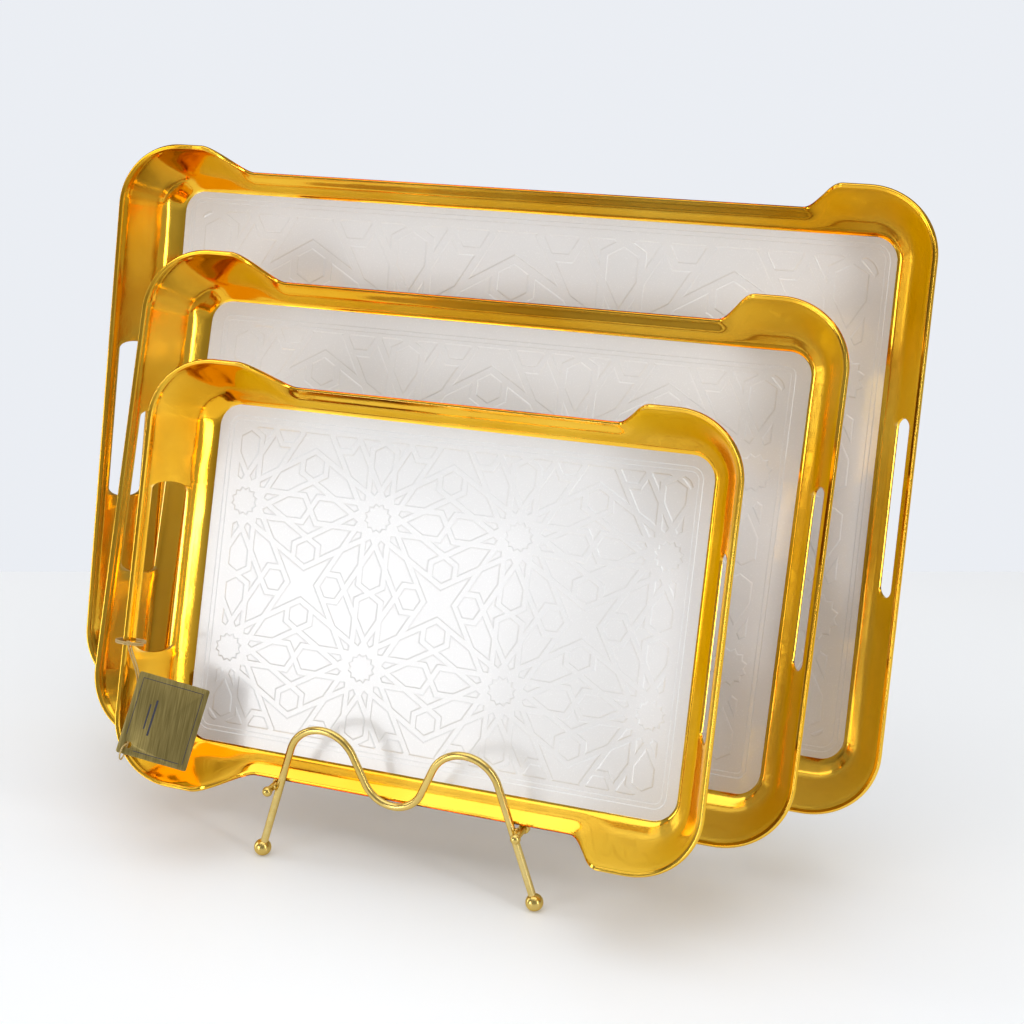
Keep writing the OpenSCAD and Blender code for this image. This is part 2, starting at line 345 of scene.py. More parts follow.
def pearl_panel():
    """Glossy white moulding with a faint pearl drift and the finest orange peel."""
    material, tree, shader = new_material("pearl_panel")
    link = tree.links.new
    plated = plated_node(tree, (14.0, 70.0, 1200.0), (0.20, 0.32))
    tone = two_tone(tree, (0.78, 0.775, 0.77), (0.84, 0.84, 0.845))
    link(plated.outputs["Tone"], tone.inputs["Fac"])
    relief = node(tree, "ShaderNodeBump", Strength=0.05, Distance=0.001)
    link(plated.outputs["Height"], relief.inputs["Height"])
    link(tone.outputs["Color"], shader.inputs["Base Color"])
    link(plated.outputs["Roughness"], shader.inputs["Roughness"])
    link(relief.outputs["Normal"], shader.inputs["Normal"])
    shader.inputs["Coat Weight"].default_value = 0.35
    shader.inputs["Coat Roughness"].default_value = 0.08
    return material


def gold_card():
    """Foil card brushed along its height."""
    material, tree, shader = new_material("gold_card")
    link = tree.links.new
    place = node(tree, "ShaderNodeTexCoord")
    turn = node(tree, "ShaderNodeMapping")
    turn.inputs["Rotation"].default_value = (0, math.radians(-14), 0)
    turn.inputs["Scale"].default_value = (1800, 60, 60)
    grain = node(tree, "ShaderNodeTexNoise", Scale=1.0, Detail=4.0)
    link(place.outputs["Object"], turn.inputs["Vector"])
    link(turn.outputs["Vector"], grain.inputs["Vector"])
    tone = two_tone(tree, (0.26, 0.20, 0.06), (0.46, 0.36, 0.13), 0.3, 0.7)
    rough = node(tree, "ShaderNodeMapRange")
    rough.inputs["To Min"].default_value = 0.26
    rough.inputs["To Max"].default_value = 0.42
    relief = node(tree, "ShaderNodeBump", Strength=0.15, Distance=0.0002)
    link(grain.outputs["Fac"], tone.inputs["Fac"])
    link(grain.outputs["Fac"], rough.inputs["Value"])
    link(grain.outputs["Fac"], relief.inputs["Height"])
    link(tone.outputs["Color"], shader.inputs["Base Color"])
    link(rough.outputs["Result"], shader.inputs["Roughness"])
    link(relief.outputs["Normal"], shader.inputs["Normal"])
    shader.inputs["Metallic"].default_value = 0.9
    return material


def gold_string():
    """Metallic thread: light and dark strands."""
    material, tree, shader = new_material("gold_string")
    link = tree.links.new
    place = node(tree, "ShaderNodeTexCoord")
    strands = node(tree, "ShaderNodeTexWave", Scale=900.0, Distortion=2.0)
    strands.bands_direction = "DIAGONAL"
    link(place.outputs["Object"], strands.inputs["Vector"])
    tone = two_tone(tree, (0.30, 0.18, 0.05), (0.85, 0.66, 0.30))
    relief = node(tree, "ShaderNodeBump", Strength=0.5, Distance=0.0003)
    link(strands.outputs["Fac"], tone.inputs["Fac"])
    link(strands.outputs["Fac"], relief.inputs["Height"])
    link(tone.outputs["Color"], shader.inputs["Base Color"])
    link(relief.outputs["Normal"], shader.inputs["Normal"])
    shader.inputs["Metallic"].default_value = 0.5
    shader.inputs["Roughness"].default_value = 0.45
    return material


def dark_print():
    """Dark printing ink with a faint unevenness."""
    material, tree, shader = new_material("dark_print")
    link = tree.links.new
    place = node(tree, "ShaderNodeTexCoord")
    mottle = node(tree, "ShaderNodeTexNoise", Scale=1500.0, Detail=2.0)
    link(place.outputs["Object"], mottle.inputs["Vector"])
    tone = two_tone(tree, (0.02, 0.02, 0.03), (0.06, 0.06, 0.09))
    link(mottle.outputs["Fac"], tone.inputs["Fac"])
    link(tone.outputs["Color"], shader.inputs["Base Color"])
    shader.inputs["Roughness"].default_value = 0.4
    return material


# ---------------------------------------------------------------- camera, floor and light
CAMERA_AT = Vector((394.2, -900.3, 517.9)) * MM
CAMERA_YAW = math.radians(21.54)
CAMERA_DOWN = math.radians(18.78)
LENS = 65.99
SENSOR = 36
FLOOR_DEPTH = 1.378
FLOOR_HALF = (3, 1.6)
BACKDROP = (0.83, 0.855, 0.90)


def make_camera():
    data = bpy.data.cameras.new("camera")
    data.lens = LENS
    data.sensor_width = SENSOR
    camera = add_object("camera", data)
    look = Vector((-math.sin(CAMERA_YAW) * math.cos(CAMERA_DOWN),
                   math.cos(CAMERA_YAW) * math.cos(CAMERA_DOWN), -math.sin(CAMERA_DOWN)))
    camera.location = CAMERA_AT
    camera.rotation_euler = look.to_track_quat("-Z", "Y").to_euler()
    bpy.context.scene.camera = camera


def make_floor():
    """A pale table top whose far edge crosses behind the object."""
    bm = bmesh.new()
    bmesh.ops.create_grid(bm, x_segments=1, y_segments=1, size=1)
    bmesh.ops.scale(bm, vec=(*FLOOR_HALF, 1), verts=bm.verts)
    bmesh.ops.translate(bm, vec=(0, FLOOR_DEPTH - FLOOR_HALF[1], 0), verts=bm.verts)
    place = Matrix.Translation((CAMERA_AT.x, CAMERA_AT.y, 0)) @ Matrix.Rotation(CAMERA_YAW, 4, "Z")
    bmesh.ops.transform(bm, matrix=place, verts=bm.verts)
    material, _, shader = new_material("floor")
    shader.inputs["Base Color"].default_value = (0.80, 0.815, 0.83, 1)
    shader.inputs["Roughness"].default_value = 0.38
    shader.inputs["Emission Color"].default_value = (0.95, 0.98, 1.0, 1)
    shader.inputs["Emission Strength"].default_value = 0.14
    floor = mesh_object("floor", bm, material)


def area_light(name, at, aim, size, power):
    data = bpy.data.lights.new(name, "AREA")
    data.shape = "RECTANGLE"
    data.size, data.size_y = size
    data.energy = power
    light = add_object(name, data)
    light.location = at
    light.rotation_euler = (Vector(aim) - Vector(at)).to_track_quat("-Z", "Y").to_euler()
    light.visible_camera = False


def make_world():
    """A pale backdrop, with a dimmer surround for the light that it gives."""
    world = bpy.data.worlds.new("studio")
    world.use_nodes = True
    tree = world.node_tree
    place = node(tree, "ShaderNodeTexCoord")
    height = node(tree, "ShaderNodeSeparateXYZ")
    tone = two_tone(tree, (0.52, 0.52, 0.53), (0.30, 0.30, 0.31), 0.0, 0.25)
    for position, value in ((0.6, 0.30), (1.0, 0.48)):
        stop = tone.color_ramp.elements.new(position)
        stop.color = (value, value, value * 1.02, 1)
    rays = node(tree, "ShaderNodeLightPath")
    seen = node(tree, "ShaderNodeMix", data_type="RGBA")
    seen.inputs["B"].default_value = (*BACKDROP, 1)
    tree.links.new(place.outputs["Generated"], height.inputs["Vector"])
    tree.links.new(height.outputs["Z"], tone.inputs["Fac"])
    tree.links.new(tone.outputs["Color"], seen.inputs["A"])
    tree.links.new(rays.outputs["Is Camera Ray"], seen.inputs["Factor"])
    tree.links.new(seen.outputs["Result"], tree.nodes["Background"].inputs["Color"])
    bpy.context.scene.world = world


def make_flag(name, at, aim, size):
    """A dark card beside the light, seen only in reflections."""
    bm = bmesh.new()
    bmesh.ops.create_grid(bm, x_segments=1, y_segments=1, size=0.5)
    bmesh.ops.scale(bm, vec=(*size, 1), verts=bm.verts)
    turn = (Vector(aim) - Vector(at)).to_track_quat("-Z", "Y").to_matrix().to_4x4()
    bmesh.ops.transform(bm, matrix=Matrix.Translation(at) @ turn, verts=bm.verts)
    material, _, shader = new_material(name)
    shader.inputs["Base Color"].default_value = (0.10, 0.07, 0.04, 1)
    shader.inputs["Roughness"].default_value = 0.9
    flag = mesh_object(name, bm, material)
    flag.visible_camera = False
    flag.visible_diffuse = False
    flag.visible_shadow = False


def make_lights():
    area_light("overhead", (0.0, 0.0, 1.7), (0, 0, 0.1), (2.4, 2.4), 25)
    area_light("left_fill", (-1.3, -0.25, 0.45), (0.1, 0.0, 0.15), (0.25, 0.9), 3.0)
    area_light("front_left", (-0.80, -1.45, 0.36), (-0.05, -0.05, 0.10), (0.62, 0.5), 5.5)
    area_light("right_strip", (1.1, -0.5, 0.5), (0.1, 0.0, 0.15), (0.12, 0.9), 3.5)
    make_flag("left_flag", (-0.75, -0.75, 0.4), (0, 0, 0.2), (0.14, 1.0))
    make_flag("right_flag", (0.95, 0.15, 0.5), (0, 0, 0.2), (0.22, 1.0))
    make_flag("top_flag", (0.0, -0.75, 1.25), (0, 0, 0.2), (1.6, 0.16))


# ---------------------------------------------------------------- rims
CORNER_STEPS = 20
RAMP_STEPS = 18
ROUND_STEPS = 7
LOWER_LINES = 9
SLOT_LINES = 4
LIP_LINES = (0.84, 0.86, 0.88, 0.90, 0.915, 0.93, 0.94, 0.95, 0.96, 0.975, 0.985, 0.995, 1.005, 1.015,
             1.03, 1.04)
BEAD_AT = 0.94
BEAD_HEIGHT = 0.45 * MM
BEAD_SPREAD = 0.016


def quadrant_stations(name):
    """Stations round a quarter of the rim.

    Each one is (x, y, nx, ny, share of the end wall's section, flare, half width of the slot gap).
    """
    length, height = PANEL[name]
    half = (SLOT_SPAN[1] - SLOT_SPAN[0]) / 2 * END_OUT[name]
    top = SLOT_LENGTH / 2
    cx, cy = length / 2 - PANEL_CORNER, height / 2 - PANEL_CORNER
    stations = []
    for v in (0, 0.35 * top, 0.7 * top):
        stations.append((length / 2, v, 1, 0, 1, 1, half))
    for s in range(ROUND_STEPS + 1):
        turn = math.pi / 2 * s / ROUND_STEPS
        up = top - half + half * math.sin(turn)
        stations.append((length / 2, up, 1, 0, 1, 1, half * math.cos(turn)))
    for s in (0.12, 0.3, 0.55, 0.8):
        stations.append((length / 2, mix(top, cy, s), 1, 0, 1, 1, half * smooth(s / 0.8)))
    for s in range(CORNER_STEPS + 1):
        a = math.pi / 2 * s / CORNER_STEPS
        flare = mix(1, EAR_SHARE, smooth(s / CORNER_STEPS))
        stations.append((cx + PANEL_CORNER * math.cos(a), cy + PANEL_CORNER * math.sin(a),
                         math.cos(a), math.sin(a), 1, flare, half))
    stations.append((cx - EAR_FLAT / 2, height / 2, 0, 1, 1, EAR_SHARE, half))
    for s in range(RAMP_STEPS + 1):
        x = EAR_FLAT + EAR_RAMP * s / RAMP_STEPS
        w = 1 - smooth((x - EAR_FLAT) / EAR_RAMP)
        stations.append((cx - x, height / 2, 0, 1, w, mix(1, EAR_SHARE, w), half))
    stations.append(((cx - EAR_FLAT - EAR_RAMP) / 2, height / 2, 0, 1, 0, 1, half))
    stations.append((0, height / 2, 0, 1, 0, 1, half))
    return stations


def flip(stations, sx, sy):
    """The stations mirrored in x, y or both."""
    return [(x * sx, y * sy, nx * sx, ny * sy, w, k, gap) for x, y, nx, ny, w, k, gap in stations]


def rim_stations(name):
    quarter = quadrant_stations(name)
    return (quarter + flip(quarter, -1, 1)[-2::-1] + flip(quarter, -1, -1)[1:]
            + flip(quarter, 1, -1)[-2::-1])


END_LINE = smooth_line([Vector(p) for p in END_SECTION], 6)
LONG_LINE = smooth_line([Vector(p) for p in LONG_SECTION], 6)


def section_shares(gap, out):
    """Where the section's lines lie for one half width of the slot gap, as shares of the flare."""
    middle = sum(SLOT_SPAN) / 2
    low, high = middle - gap / out, middle + gap / out
    lower = [low * (j / LOWER_LINES) ** 1.3 for j in range(LOWER_LINES + 1)]
    across = [mix(low, high, j / SLOT_LINES) for j in range(1, SLOT_LINES)]
    return lower + across + [high] + list(LIP_LINES)


def rim_point(name, station, share):
    """A point of the rim's face in the tray's own frame, with the raised bead below the lip."""
    x, y, nx, ny, w, flare, _ = station
    end, long = at_share(END_LINE, share), at_share(LONG_LINE, share)
    out = flare * mix(long.x * LONG_OUT, end.x * END_OUT[name], w)
    rise = mix(long.y * LONG_RISE, end.y * END_RISE[name], w)
    bead = 0.7 * BEAD_HEIGHT * math.exp(-((share - BEAD_AT) / BEAD_SPREAD) ** 2)
    return Vector((x + nx * (out - bead), y + ny * (out - bead) + PANEL[name][1] / 2, rise + bead))


def make_rim(name, material):
    """The rim's face is a grid of stations and section lines, opened at the slots and thickened."""
    stations = rim_stations(name)
    count = len(stations)
    lines = len(section_shares(0, END_OUT[name]))
    bm = bmesh.new()
    bmesh.ops.create_grid(bm, x_segments=count - 1, y_segments=lines - 1, size=1)
    place = {}
    for vert in bm.verts:
        i = round((vert.co.x + 1) / 2 * (count - 1))
        j = round((vert.co.y + 1) / 2 * (lines - 1))
        place[vert] = (i, j)
    gap_faces = []
    for face in bm.faces:
        marks = [place[v] for v in face.verts]
        in_gap = all(LOWER_LINES <= j <= LOWER_LINES + SLOT_LINES for i, j in marks)
        ends = [stations[i] for i, j in marks]
        if in_gap and all(abs(s[3]) < 1e-6 and abs(s[1]) <= SLOT_LENGTH / 2 + 1e-6 for s in ends):
            gap_faces.append(face)
    for vert, (i, j) in place.items():
        shares = section_shares(stations[i][6], END_OUT[name])
        vert.co = rim_point(name, stations[i], shares[j])
    bmesh.ops.delete(bm, geom=gap_faces, context="FACES")
    bmesh.ops.remove_doubles(bm, verts=bm.verts, dist=0.02 * MM)
    bmesh.ops.dissolve_degenerate(bm, dist=0.01 * MM, edges=bm.edges)
    bmesh.ops.recalc_face_normals(bm, faces=bm.faces)
    if max(bm.faces, key=lambda f: f.calc_center_median().x).normal.z <= 0:
        bmesh.ops.reverse_faces(bm, faces=bm.faces)
    bmesh.ops.solidify(bm, geom=bm.faces[:], thickness=RIM_T)
    bmesh.ops.recalc_face_normals(bm, faces=bm.faces)
    sharp = [e for e in bm.edges if len(e.link_faces) == 2 and e.calc_face_angle(0) > math.radians(55)]
    bmesh.ops.bevel(bm, geom=sharp, affect="EDGES", offset=0.35 * MM, segments=2, profile=0.5,
                    material=-1, clamp_overlap=True)
    bmesh.ops.transform(bm, matrix=PLACE[name], verts=bm.verts)
    rim = finish_piece(name + "_gold_rim", bm, name + "_tray", material)
    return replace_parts(rim, name + "_rim")


# ---------------------------------------------------------------- panels
# The pattern's measures, in units of the rosettes' spacing; BAND is half a petal's width.
STAR_TIP = 0.1237
STAR_WAIST = 0.101
KITE_SIDE = 0.175
KITE_TIP = 0.338
BAND = 0.0875
HEX_AT = 0.2887
HEX_R = 0.101


def polar(r, degrees):
    return Vector((r * math.cos(math.radians(degrees)), r * math.sin(math.radians(degrees))))


def turned(points, degrees):
    turn = Matrix.Rotation(math.radians(degrees), 2)
    return [turn @ p for p in points]


def rosette():
    """The cells of one rosette about its own centre."""
    cells = [[polar(STAR_WAIST, 15 * k) if k % 2 == 0 else polar(STAR_TIP, 15 * k) for k in range(24)]]
    kite = [polar(STAR_TIP, 15), polar(KITE_SIDE, 0), polar(KITE_TIP, 15), polar(KITE_SIDE, 30)]
    cells += [turned(kite, 30 * k) for k in range(12)]
    petal = [Vector(p) for p in ((KITE_SIDE, 0), (0.3265, -BAND), (0.4495, -BAND), (0.5, 0),
                                 (0.4495, BAND), (0.3265, BAND))]
    cells += [turned(petal, 90 * k) for k in range(4)]
    leaf = [polar(KITE_SIDE, 60), Vector((0.239, 0.239)), Vector((0.3395, 0.4125)),
            Vector((0.2385, 0.4125)), Vector((0.188, 0.5)), Vector((BAND, 0.3265))]
    mirrored = [Vector((p.y, p.x)) for p in reversed(leaf)]
    for k in range(4):
        cells += [turned(leaf, 90 * k), turned(mirrored, 90 * k)]
    return cells


def between():
    """The cells round the point halfway between two rosettes that stand side by side."""
    bow = [Vector(p) for p in ((0, 0), (0.0505, BAND), (0.1735, BAND), (0, 0.188), (-0.1735, BAND),
                               (-0.0505, BAND))]
    hexagon = [Vector((0, HEX_AT)) + polar(HEX_R, 30 + 60 * k) for k in range(6)]
    return [bow, turned(bow, 180), hexagon, turned(hexagon, 180)]


def gap_star():
    """The four-armed star in the gap between four rosettes."""
    arm, waist = 0.261, 0.11
    return [polar(arm * math.sqrt(2), 45 + 45 * k) if k % 2 == 0 else polar(waist, 45 + 45 * k)
            for k in range(8)]


def pattern_cells():
    """Every cell of the panel's pattern, in units of the rosettes' spacing."""
    cells = []
    for x in (-1.5, -0.5, 0.5, 1.5):
        for y in (-0.5, 0.5):
            cells += [[p + Vector((x, y)) for p in cell] for cell in rosette()]
        for y in (-1, 0, 1):
            cells += [[p + Vector((x, y)) for p in turned(cell, 90)] for cell in between()]
    for x in (-1, 0, 1):
        for y in (-0.5, 0.5):
            cells += [[p + Vector((x, y)) for p in cell] for cell in between()]
        for y in (-1, 0, 1):
            cells.append([p + Vector((x, y)) for p in gap_star()])
    return cells


SPACING = {"small": 82.8 * MM, "medium": 104.5 * MM, "large": 131.0 * MM}
FIELD = (3.25, 2.056)
FIELD_CORNER = 0.1
STRAP_HALF = 0.0155
SMALLEST_CELL = 0.045
FIELD_DEPTH = 0.55 * MM
ROOT_DEPTH = 0.2 * MM
PANEL_SMOOTH = 12
# The shoulders of a raised cell: each step goes inwards and up.
SHOULDER = ((0.05 * MM, 0.20 * MM), (0.45 * MM, 0.24 * MM), (0.40 * MM, 0.09 * MM))


def rounded_face(bm, length, height, corner, z, segments=10):
    """A flat rectangle with rounded corners."""
    made = bmesh.ops.create_grid(bm, x_segments=1, y_segments=1, size=0.5)
    bmesh.ops.scale(bm, vec=(length, height, 1), verts=made["verts"])
    bmesh.ops.translate(bm, vec=(0, 0, z), verts=made["verts"])
    bmesh.ops.bevel(bm, geom=made["verts"], affect="VERTICES", offset=corner, segments=segments,
                    profile=0.5, material=-1)


def make_plate(bm, name):
    """The panel's plate: a plain border, a double step, and the sunk field of the pattern."""
    length, height = PANEL[name]
    s = SPACING[name]
    rounded_face(bm, length, height, PANEL_CORNER, -PANEL_T)
    face = max(bm.faces, key=lambda f: f.calc_area())
    lifted = bmesh.ops.extrude_face_region(bm, geom=[face])
    verts = [g for g in lifted["geom"] if isinstance(g, bmesh.types.BMVert)]
    bmesh.ops.translate(bm, vec=(0, 0, PANEL_T), verts=verts)
    bmesh.ops.recalc_face_normals(bm, faces=bm.faces)
    border = (length - FIELD[0] * s) / 2
    steps = ((0.5 * MM, 0), (border - 4.2 * MM, 0), (0.5 * MM, -0.30 * MM), (2.0 * MM, 0),
             (0.5 * MM, -0.25 * MM))
    for inset, depth in steps:
        top = max((f for f in bm.faces if f.normal.z > 0.9), key=lambda f: f.calc_area())
        bmesh.ops.inset_individual(bm, faces=[top], thickness=inset, depth=depth, use_even_offset=True)


def clip_to_field(bm, s):
    """Cuts the pattern off at the field's rounded outline."""
    hx, hy, r = FIELD[0] * s / 2, FIELD[1] * s / 2, FIELD_CORNER * s
    for degrees in range(0, 360, 15):
        out = Vector((math.cos(math.radians(degrees)), math.sin(math.radians(degrees)), 0))
        corner = Vector((math.copysign(hx - r, out.x), math.copysign(hy - r, out.y), 0))
        if degrees % 90 == 0:
            corner = Vector((hx - r, hy - r, 0)) * (1 if degrees < 180 else -1)
        bmesh.ops.bisect_plane(bm, geom=bm.verts[:] + bm.edges[:] + bm.faces[:],
                               plane_co=corner + r * out, plane_no=out, clear_outer=True)


def used_up(face, depth):
    """The first edge of a face that an inset of this depth would turn round, or None."""
    def half_cot(loop):
        angle = loop.calc_angle()
        return 1 / math.tan((angle if loop.is_convex else 2 * math.pi - angle) / 2)

    for loop in face.loops:
        lost = depth * (half_cot(loop) + half_cot(loop.link_loop_next))
        if loop.edge.calc_length() < lost + 0.1 * MM:
            return loop.edge
    return None


def raise_cells(bm, name):
    """Raised plateaus with sloping shoulders, one for each cell."""
    s = SPACING[name]
    for cell in pattern_cells():
        bm.faces.new([bm.verts.new((p.x * s, p.y * s, 0)) for p in cell])
    bm.normal_update()
    down = [f for f in bm.faces if f.normal.z < 0]
    bmesh.ops.reverse_faces(bm, faces=down)
    clip_to_field(bm, s)
    bm.normal_update()
    whole = STRAP_HALF * s + sum(inset for inset, depth in SHOULDER)
    for face in bm.faces[:]:
        while face.is_valid and len(face.verts) > 3:
            short = used_up(face, whole)
            if short is None:
                break
            ends = short.verts[:]
            bmesh.ops.pointmerge(bm, verts=ends, merge_co=(ends[0].co + ends[1].co) / 2)
    poor = [f for f in bm.faces if used_up(f, whole) or f.calc_area() < (SMALLEST_CELL * s) ** 2]
    bmesh.ops.delete(bm, geom=poor, context="FACES")
    ring = bmesh.ops.inset_individual(bm, faces=bm.faces[:], thickness=STRAP_HALF * s,
                                      use_even_offset=True)
    bmesh.ops.delete(bm, geom=ring["faces"], context="FACES")
    bmesh.ops.translate(bm, vec=(0, 0, -FIELD_DEPTH - ROOT_DEPTH), verts=bm.verts)
    tops = bm.faces[:]
    for inset, depth in SHOULDER:
        bmesh.ops.inset_individual(bm, faces=tops, thickness=inset, depth=depth, use_even_offset=True)
    open_edges = [e for e in bm.edges if e.is_boundary]
    bmesh.ops.holes_fill(bm, edges=open_edges, sides=0)
    bmesh.ops.recalc_face_normals(bm, faces=bm.faces)


def make_panel(name, material):
    bm = bmesh.new()
    make_plate(bm, name)
    cells = bmesh.new()
    raise_cells(cells, name)
    relief = bpy.data.meshes.new(name + "_relief")
    cells.to_mesh(relief)
    cells.free()
    bm.from_mesh(relief)
    bpy.data.meshes.remove(relief)
    bmesh.ops.translate(bm, vec=(0, PANEL[name][1] / 2, 0), verts=bm.verts)
    bmesh.ops.transform(bm, matrix=PLACE[name], verts=bm.verts)
    panel = finish_piece(name + "_embossed_panel", bm, name + "_tray", material,
                         PANEL_SMOOTH)
    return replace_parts(panel, name + "_panel")


# ---------------------------------------------------------------- stand
def arc(centre, radius, start, end, steps=24):
    return [centre + polar(radius, mix(start, end, j / steps)) for j in range(steps + 1)]


def leg_angle(foot, hump):
    """Where a straight leg from the foot touches the hump's arc."""
    v = hump - foot
    return math.degrees(math.atan2(v.y, v.x) - math.asin(HUMP_R / v.length)) - 90


def m_line(foot, hump, dip):
    """An M of wire in a plane: leg, hump, dip, hump, leg, drawn with true arcs."""
    across = hump - dip
    tilt = math.degrees(math.atan2(across.y, across.x))
    wall = math.degrees(math.acos((HUMP_R + DIP_R) / across.length))
    half = [foot] + arc(hump, HUMP_R, leg_angle(foot, hump), 180 + tilt - wall)
    half += arc(dip, DIP_R, tilt - wall, -90)
    return half + [Vector((-p.x, p.y)) for p in reversed(half[:-1])]


def stand_centre():
    low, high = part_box("front_wire")
    return Vector(((low.x + high.x) / 2, (low.y + high.y) / 2, 0))


def rod_place(node_name):
    low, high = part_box(node_name)
    return (low + high) / 2, low.y, high.y


def make_wires(material):
    middle = stand_centre()
    hump, dip = Vector((HUMP_X, HUMP_Z)), Vector((0, HUMP_Z + DIP_ABOVE))
    line = m_line(Vector((FOOT_X, FOOT_R - FOOT_FLAT)), hump, dip)
    for node_name in ("front_wire", "rear_wire"):
        low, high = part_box(node_name)
        route = [Vector((middle.x + p.x, (low.y + high.y) / 2, p.y)) for p in line]
        wire = curve_piece(node_name + "_bent", [route], WIRE_R, "stand", material)
        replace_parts(wire, node_name)


def make_back_rests(material):
    middle = stand_centre()
    rod = rod_place("right_rod")[0]
    for name in TRAYS:
        low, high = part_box(name + "_back_rest")
        place = PLACE[name]
        lean = math.radians(LEAN[name])
        end_z = rod.z + ROD_R + REST_GAP + WIRE_R * math.sin(lean)
        v_end = (end_z - place.translation.z + REST_BEHIND * math.sin(lean)) / math.cos(lean)
        hump = Vector((HUMP_X, REST_HUMP[name] - HUMP_R))
        foot = Vector((rod.x - middle.x, v_end + 3 * MM))
        line = m_line(foot, hump, hump - Vector((HUMP_X, -DIP_ABOVE)))
        line = [Vector((foot.x, v_end))] + line + [Vector((-foot.x, v_end))]
        shift = middle.x - place.translation.x
        route = [place @ Vector((p.x + shift, p.y, -REST_BEHIND)) for p in line]
        rest = curve_piece(name + "_rest_bent", [route], WIRE_R, "stand", material)
        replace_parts(rest, name + "_back_rest")


def lathe(profile):
    """A turned piece from (radius, height) points, closed at both poles."""
    bm = bmesh.new()
    verts = [bm.verts.new((r, 0, z)) for r, z in profile]
    edges = [bm.edges.new(pair) for pair in zip(verts, verts[1:])]
    bmesh.ops.spin(bm, geom=verts + edges, cent=(0, 0, 0), axis=(0, 0, 1), angle=2 * math.pi, steps=40,
                   use_merge=True)
    bmesh.ops.remove_doubles(bm, verts=bm.verts, dist=0.001 * MM)
    bmesh.ops.recalc_face_normals(bm, faces=bm.faces)
    return bm


def ball(radius, middle, start, end, steps=12):
    """A ball's profile between two angles from its lower pole."""
    angles = [math.radians(mix(start, end, j / steps)) for j in range(steps + 1)]
    return [(radius * math.sin(a), middle - radius * math.cos(a)) for a in angles]


def collar(z, width, r_in, r_out):
    """A turned collar with rounded edges between z and z + width."""
    soft, cut = 0.5 * MM, 0.15 * MM
    end = z + width
    return [(r_in, z), (r_out - soft, z), (r_out - cut, z + cut), (r_out, z + soft),
            (r_out, end - soft), (r_out - cut, end - cut), (r_out - soft, end), (r_in, end)]


def make_rods(material):
    neck = math.degrees(math.asin(ROD_R / TIP_R))
    for node_name in ("left_rod", "right_rod"):
        centre, start, end = rod_place(node_name)
        wires = [(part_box(w)[0].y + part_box(w)[1].y) / 2 for w in ("front_wire", "rear_wire")]
        low, high = start + TIP_R, end - TIP_R
        profile = ball(TIP_R, low, 0, 180 - neck)
        profile += collar(wires[0] + WIRE_R + COLLAR, COLLAR, ROD_R, COLLAR)
        profile += collar(wires[1] - WIRE_R - 2 * COLLAR, COLLAR, ROD_R, COLLAR)
        profile += ball(TIP_R, high, neck, 180)
        bm = lathe(profile)
        place = Matrix.Translation((centre.x, 0, centre.z)) @ Matrix.Rotation(-math.pi / 2, 4, "X")
        bmesh.ops.transform(bm, matrix=place, verts=bm.verts)
        rod = finish_piece(node_name + "_turned", bm, "stand", material)
        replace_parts(rod, node_name)


def make_feet(material):
    middle_z = FOOT_R - FOOT_FLAT
    flat = math.degrees(math.acos(middle_z / FOOT_R))
    for side in ("front_left", "front_right", "rear_left", "rear_right"):
        low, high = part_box(side + "_foot")
        bm = lathe([(0, 0)] + ball(FOOT_R, middle_z, flat, 180, 24))
        bmesh.ops.translate(bm, vec=((low.x + high.x) / 2, (low.y + high.y) / 2, 0), verts=bm.verts)
        foot = finish_piece(side + "_ball_foot", bm, "stand", material)
        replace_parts(foot, side + "_foot")


def weld_bead(bm, at, size, turn):
    """A small uneven bead of braze."""
    made = bmesh.ops.create_icosphere(bm, subdivisions=3, radius=1)
    for vert in made["verts"]:
        x, y, z = vert.co
        vert.co *= 1 + 0.10 * math.sin(5 * x + 3 * y + turn) * math.cos(4 * z + turn)
    place = Matrix.Translation(at) @ Matrix.Diagonal((*size, 1))
    bmesh.ops.transform(bm, matrix=place, verts=made["verts"])


def make_welds(material):
    """Brazed joints where the rods pass the wires and where the back rests stand on the rods."""
    bm = bmesh.new()
    for side in (-1, 1):
        rod = rod_place("right_rod" if side > 0 else "left_rod")[0]
        inward = Vector((-side * ROD_R, 0, 0.6 * MM))
        for wire in ("front_wire", "rear_wire"):
            low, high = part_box(wire)
            at = Vector((rod.x, (low.y + high.y) / 2, rod.z)) + inward
            weld_bead(bm, at, (1.1 * MM, 2.4 * MM, 2.2 * MM), at.y * 900)
        for name in TRAYS:
            low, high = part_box(name + "_back_rest")
            at = Vector((rod.x, low.y + WIRE_R, rod.z + ROD_R))
            weld_bead(bm, at, (2.7 * MM, 3.0 * MM, 0.9 * MM), at.y * 700)
    finish_piece("weld_beads", bm, "stand", material)


# ---------------------------------------------------------------- swing tag
def tag_place():
    """From the card's own frame to the row frame."""
    turn = [Matrix.Rotation(math.radians(a), 4, axis) for a, axis in zip(CARD_TURN, "XYZ")]
    return PLACE["small"] @ Matrix.Translation(CARD_MID) @ turn[2] @ turn[1] @ turn[0]


